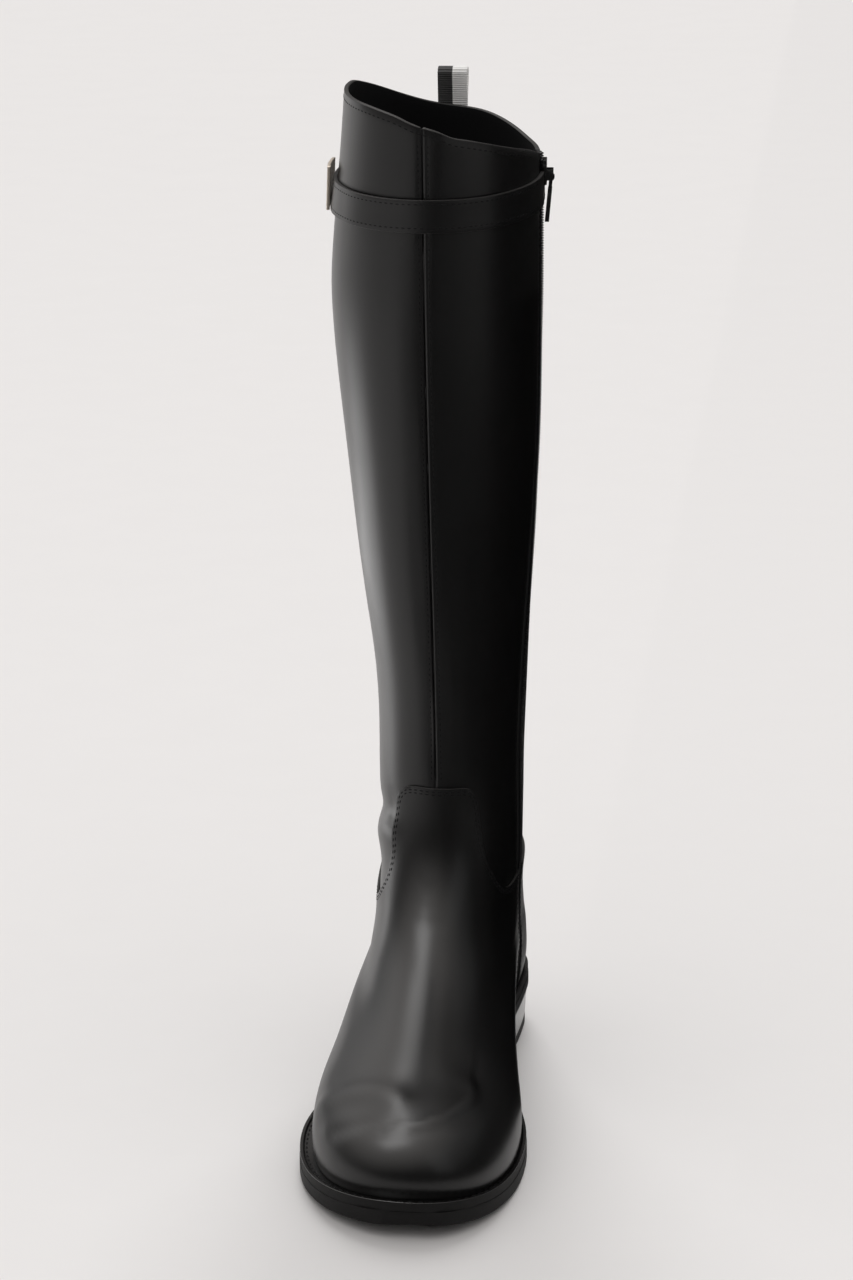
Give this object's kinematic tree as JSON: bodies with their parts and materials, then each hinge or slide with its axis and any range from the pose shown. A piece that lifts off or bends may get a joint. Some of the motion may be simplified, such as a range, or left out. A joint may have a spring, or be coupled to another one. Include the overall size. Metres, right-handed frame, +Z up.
{
  "type": "tall boot",
  "caption": "Knee-high black leather riding boot for the right foot with a full-length inner zip, a strap with a metal plate round the top, a welted rubber sole and a low heel.",
  "frame": {"origin": "on the floor under the middle of the heel", "axes": "+Z up the shaft, -Y towards the toe, +X towards the zip on the medial side"},
  "size_m": [0.1013, 0.2792, 0.4574],
  "materials": {
    "black_leather": "smooth polished calf leather",
    "black_rubber": "matt moulded rubber",
    "heel_lacquer": "glossy lacquered heel block",
    "insole_leather": "matt lining leather",
    "zip_fabric": "woven tape with a nylon coil",
    "black_metal": "glossy black enamel",
    "bright_metal": "pale nickel",
    "ribbon": "ribbed grosgrain, half black and half white"
  },
  "bodies": {
    "boot": {"upper": "black_leather", "vamp": "black_leather", "strap": "black_leather", "outsole": "black_rubber", "welt": "black_rubber", "heel_lift": "black_rubber", "heel": "heel_lacquer", "insole": "insole_leather", "strap_plate": "bright_metal", "zip": "zip_fabric", "zip_slider": "black_metal", "pull_loop": "ribbon"},
    "pull_tab": {"zip_pull": "black_metal"}
  },
  "joints": [
    {"name": "pull_tab_hinge", "type": "hinge", "parent": "boot", "child": "pull_tab", "pos_m": [0.04533, -0.01576, 0.415], "axis": [0.0685, -0.9975, -0.0167], "range_deg": [0, 160]}
  ]
}
